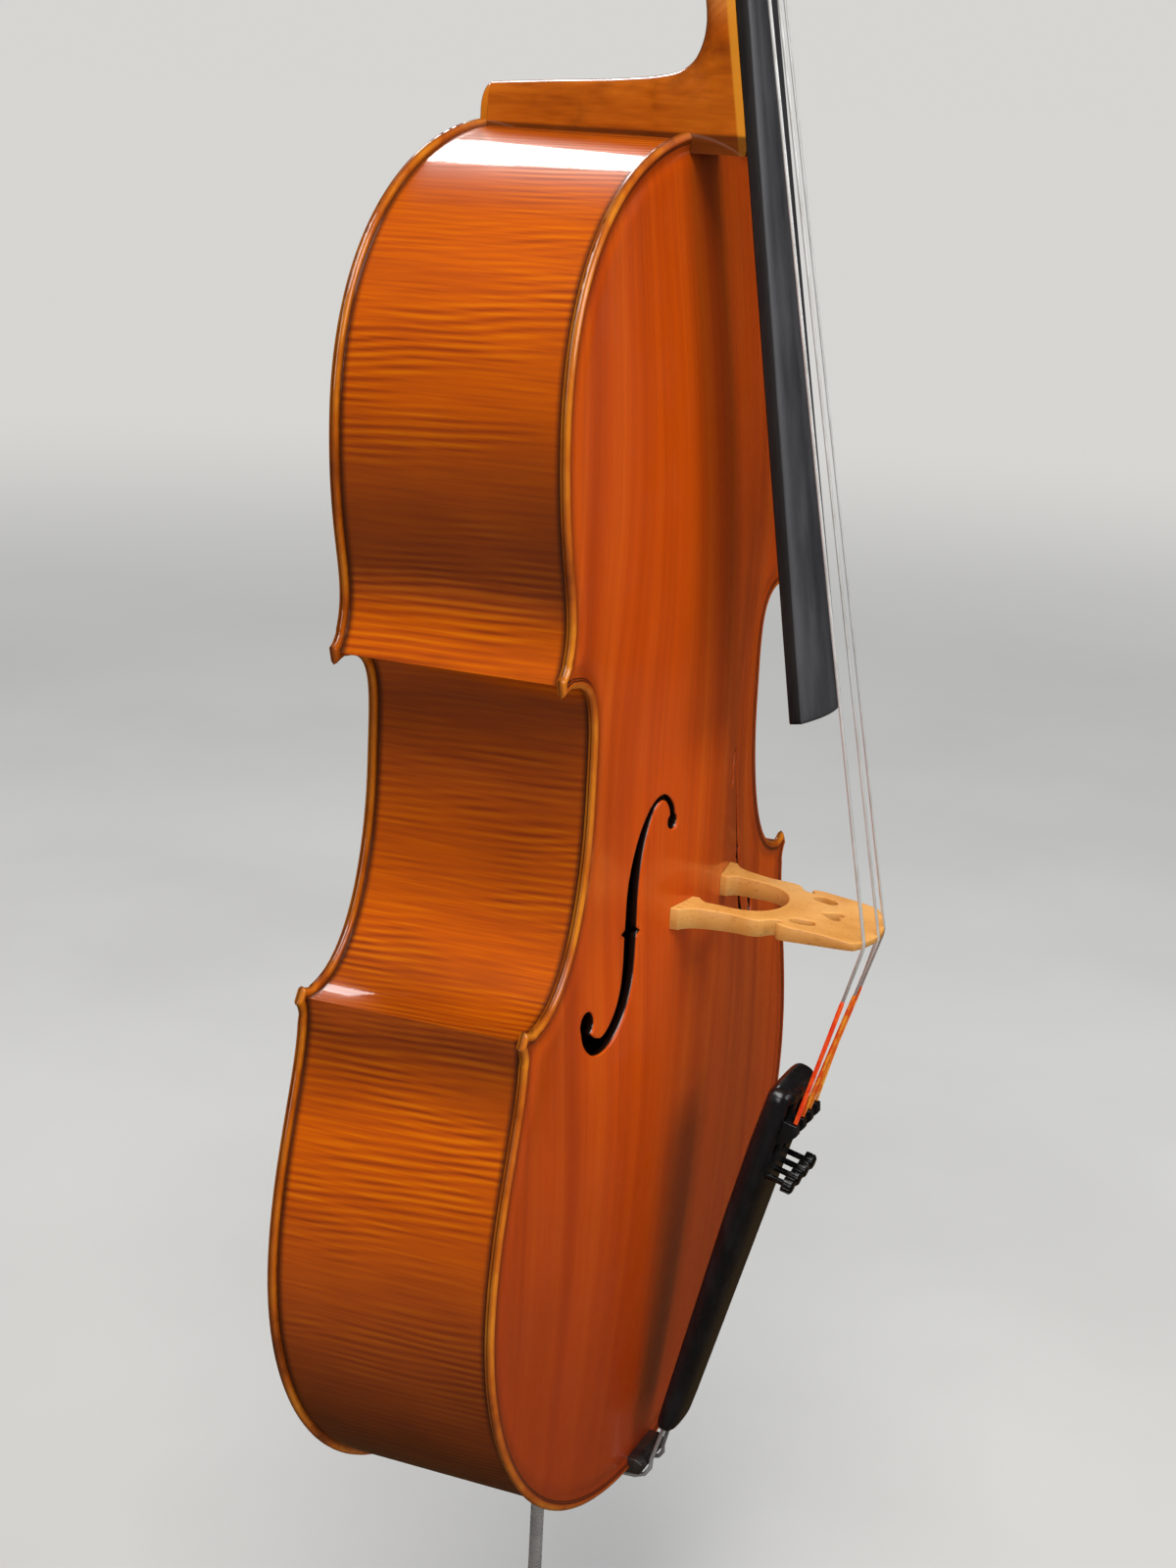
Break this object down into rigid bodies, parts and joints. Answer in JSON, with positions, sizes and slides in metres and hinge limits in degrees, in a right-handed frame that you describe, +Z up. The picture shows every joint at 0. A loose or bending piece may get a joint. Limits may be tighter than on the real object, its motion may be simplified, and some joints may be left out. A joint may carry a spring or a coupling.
{
  "type": "cello",
  "caption": "Full-size cello standing on its endpin, with bridge, strings, tailpiece with built-in fine tuners, tuning pegs and sliding endpin.",
  "frame": {"origin": "tip of the endpin on the floor, under the middle of the body", "axes": "+Z up along the body, the strung front faces -Y, the low strings are on the -X side and the high strings on the +X side"},
  "size_m": [0.438, 0.2717, 1.4836],
  "materials": {
    "spruce_varnish": "glossy reddish orange varnish over straight-grained spruce",
    "maple_varnish": "glossy golden orange varnish over flamed maple",
    "purfling": "dark inlaid strip under varnish",
    "inner_wood": "bare inner wood",
    "ebony": "oiled black hardwood",
    "bridge_maple": "bare pale maple",
    "black_composite": "satin black composite",
    "steel_cable": "thin braided cable",
    "steel": "plain bright steel",
    "black_metal": "black plated metal",
    "brass": "plain brass",
    "string_steel": "flat wound steel"
  },
  "bodies": {
    "cello_body": {"top_plate": "spruce_varnish", "back_plate": "maple_varnish", "top_purfling": "purfling", "back_purfling": "purfling", "linings_top": "inner_wood", "linings_back": "inner_wood", "top_block": "inner_wood", "bottom_block": "inner_wood", "corner_blocks": "inner_wood", "bass_bar": "inner_wood", "sound_post": "inner_wood", "neck_and_scroll": "maple_varnish", "fingerboard": "ebony", "nut": "ebony", "bridge": "bridge_maple", "saddle": "ebony", "tailpiece": "black_composite", "tail_wire": "steel_cable", "tuner_pins": "steel", "endpin_socket": "ebony", "endpin_ferrule": "black_metal", "rib_upper_bass": "maple_varnish", "rib_centre_bass": "maple_varnish", "rib_lower_bass": "maple_varnish", "rib_upper_treble": "maple_varnish", "rib_centre_treble": "maple_varnish", "rib_lower_treble": "maple_varnish", "string_c": "string_steel", "string_g": "string_steel", "string_d": "string_steel", "string_a": "string_steel"},
    "endpin_rod_body": {"endpin_rod": "steel"},
    "clamp_pad_body": {"clamp_pad": "brass"},
    "clamp_screw_body": {"clamp_screw": "black_metal"},
    "peg_c_body": {"peg_c": "ebony", "winding_c": "string_steel"},
    "tuner_tip_c_body": {"tuner_tip_c": "brass"},
    "tuner_screw_c_body": {"tuner_screw_c": "black_metal"},
    "tuner_lever_c_body": {"tuner_lever_c": "black_metal"},
    "peg_g_body": {"peg_g": "ebony", "winding_g": "string_steel"},
    "tuner_tip_g_body": {"tuner_tip_g": "brass"},
    "tuner_screw_g_body": {"tuner_screw_g": "black_metal"},
    "tuner_lever_g_body": {"tuner_lever_g": "black_metal"},
    "peg_d_body": {"peg_d": "ebony", "winding_d": "string_steel"},
    "tuner_tip_d_body": {"tuner_tip_d": "brass"},
    "tuner_screw_d_body": {"tuner_screw_d": "black_metal"},
    "tuner_lever_d_body": {"tuner_lever_d": "black_metal"},
    "peg_a_body": {"peg_a": "ebony", "winding_a": "string_steel"},
    "tuner_tip_a_body": {"tuner_tip_a": "brass"},
    "tuner_screw_a_body": {"tuner_screw_a": "black_metal"},
    "tuner_lever_a_body": {"tuner_lever_a": "black_metal"}
  },
  "joints": [
    {"name": "endpin_slide", "type": "slide", "parent": "cello_body", "child": "endpin_rod_body", "axis": [0, 0, 1], "range_m": [-0.12, 0.235]},
    {"name": "clamp_pad_slide", "type": "slide", "parent": "cello_body", "child": "clamp_pad_body", "axis": [-1, 0, 0], "range_m": [-0.0025, 0.0005]},
    {"name": "clamp_screw_turn", "type": "hinge", "parent": "clamp_pad_body", "child": "clamp_screw_body", "pos_m": [0, 0, 0.246], "axis": [-1, 0, 0], "range_deg": [-902, 182]},
    {"name": "peg_c_turn", "type": "hinge", "parent": "cello_body", "child": "peg_c_body", "pos_m": [0, -0.01849, 1.31971], "axis": [1, 0, 0], "continuous": true},
    {"name": "tuner_c_feed", "type": "slide", "parent": "cello_body", "child": "tuner_tip_c_body", "axis": [0, 0.9701, 0.2426], "range_m": [0, 0.004]},
    {"name": "tuner_c_turn", "type": "hinge", "parent": "tuner_tip_c_body", "child": "tuner_screw_c_body", "pos_m": [-0.018, -0.1301, 0.46511], "axis": [0, 0.9701, 0.2426], "range_deg": [0, 2880]},
    {"name": "tuner_c_rock", "type": "hinge", "parent": "cello_body", "child": "tuner_lever_c_body", "pos_m": [-0.018, -0.13543, 0.4947], "axis": [1, 0, 0], "range_deg": [0, 7.7]},
    {"name": "peg_g_turn", "type": "hinge", "parent": "cello_body", "child": "peg_g_body", "pos_m": [0, 0.00129, 1.37529], "axis": [1, 0, 0], "continuous": true},
    {"name": "tuner_g_feed", "type": "slide", "parent": "cello_body", "child": "tuner_tip_g_body", "axis": [0, 0.9701, 0.2426], "range_m": [0, 0.004]},
    {"name": "tuner_g_turn", "type": "hinge", "parent": "tuner_tip_g_body", "child": "tuner_screw_g_body", "pos_m": [-0.006, -0.1301, 0.46511], "axis": [0, 0.9701, 0.2426], "range_deg": [0, 2880]},
    {"name": "tuner_g_rock", "type": "hinge", "parent": "cello_body", "child": "tuner_lever_g_body", "pos_m": [-0.006, -0.13543, 0.4947], "axis": [1, 0, 0], "range_deg": [0, 7.7]},
    {"name": "peg_d_turn", "type": "hinge", "parent": "cello_body", "child": "peg_d_body", "pos_m": [0, 0.01084, 1.40211], "axis": [1, 0, 0], "continuous": true},
    {"name": "tuner_d_feed", "type": "slide", "parent": "cello_body", "child": "tuner_tip_d_body", "axis": [0, 0.9701, 0.2426], "range_m": [0, 0.004]},
    {"name": "tuner_d_turn", "type": "hinge", "parent": "tuner_tip_d_body", "child": "tuner_screw_d_body", "pos_m": [0.006, -0.1301, 0.46511], "axis": [0, 0.9701, 0.2426], "range_deg": [0, 2880]},
    {"name": "tuner_d_rock", "type": "hinge", "parent": "cello_body", "child": "tuner_lever_d_body", "pos_m": [0.006, -0.13543, 0.4947], "axis": [1, 0, 0], "range_deg": [0, 7.7]},
    {"name": "peg_a_turn", "type": "hinge", "parent": "cello_body", "child": "peg_a_body", "pos_m": [0, -0.00894, 1.34654], "axis": [1, 0, 0], "continuous": true},
    {"name": "tuner_a_feed", "type": "slide", "parent": "cello_body", "child": "tuner_tip_a_body", "axis": [0, 0.9701, 0.2426], "range_m": [0, 0.004]},
    {"name": "tuner_a_turn", "type": "hinge", "parent": "tuner_tip_a_body", "child": "tuner_screw_a_body", "pos_m": [0.018, -0.1301, 0.46511], "axis": [0, 0.9701, 0.2426], "range_deg": [0, 2880]},
    {"name": "tuner_a_rock", "type": "hinge", "parent": "cello_body", "child": "tuner_lever_a_body", "pos_m": [0.018, -0.13543, 0.4947], "axis": [1, 0, 0], "range_deg": [0, 7.7]}
  ],
  "couplings": [
    {"joint": "clamp_screw_turn", "follows": "clamp_pad_slide", "rad_per_m": 6283.2},
    {"joint": "tuner_c_turn", "follows": "tuner_c_feed", "rad_per_m": 12566},
    {"joint": "tuner_c_rock", "follows": "tuner_c_feed", "rad_per_m": 33.333},
    {"joint": "tuner_g_turn", "follows": "tuner_g_feed", "rad_per_m": 12566},
    {"joint": "tuner_g_rock", "follows": "tuner_g_feed", "rad_per_m": 33.333},
    {"joint": "tuner_d_turn", "follows": "tuner_d_feed", "rad_per_m": 12566},
    {"joint": "tuner_d_rock", "follows": "tuner_d_feed", "rad_per_m": 33.333},
    {"joint": "tuner_a_turn", "follows": "tuner_a_feed", "rad_per_m": 12566},
    {"joint": "tuner_a_rock", "follows": "tuner_a_feed", "rad_per_m": 33.333}
  ]
}
